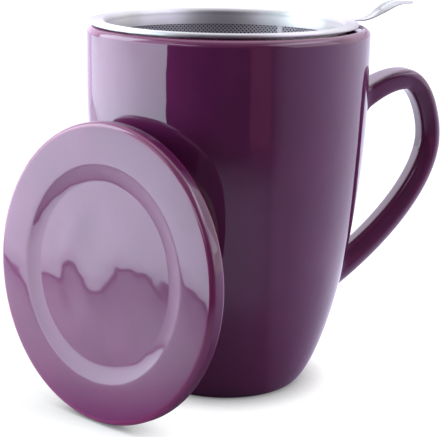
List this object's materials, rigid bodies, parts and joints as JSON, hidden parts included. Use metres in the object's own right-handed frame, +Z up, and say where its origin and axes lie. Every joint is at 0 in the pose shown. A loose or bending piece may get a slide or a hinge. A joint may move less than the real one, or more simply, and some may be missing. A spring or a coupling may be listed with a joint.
{
  "type": "lidded tea mug with infuser",
  "caption": "Tall glazed tea mug with an ear handle, a lift-out perforated steel infuser basket with a lifting tab, and a loose round lid leaning against it.",
  "frame": {"origin": "on the table under the middle of the mug, at the centre of its foot ring", "axes": "+Z up along the mug's axis, +X out through the handle, +Y to the side"},
  "size_m": [0.1409, 0.11, 0.1195],
  "materials": {
    "glaze": "glossy plum glaze",
    "rim_steel": "satin stainless steel",
    "mesh_steel": "perforated stainless sheet"
  },
  "bodies": {
    "mug": {"mug_body": "glaze", "mug_handle": "glaze"},
    "infuser": {"infuser_rim": "rim_steel", "infuser_tab": "rim_steel", "infuser_wall": "mesh_steel", "infuser_base_ring": "rim_steel", "infuser_base": "mesh_steel"},
    "lid": {"lid": "glaze"}
  },
  "joints": [
    {"name": "infuser_lift", "type": "slide", "parent": "mug", "child": "infuser", "axis": [0, 0, 1], "range_m": [0, 0.075]},
    {"name": "lid_draw", "type": "slide", "parent": "mug", "child": "lid", "axis": [-0.8292, -0.553, 0.0819], "range_m": [0, 0.06]}
  ]
}
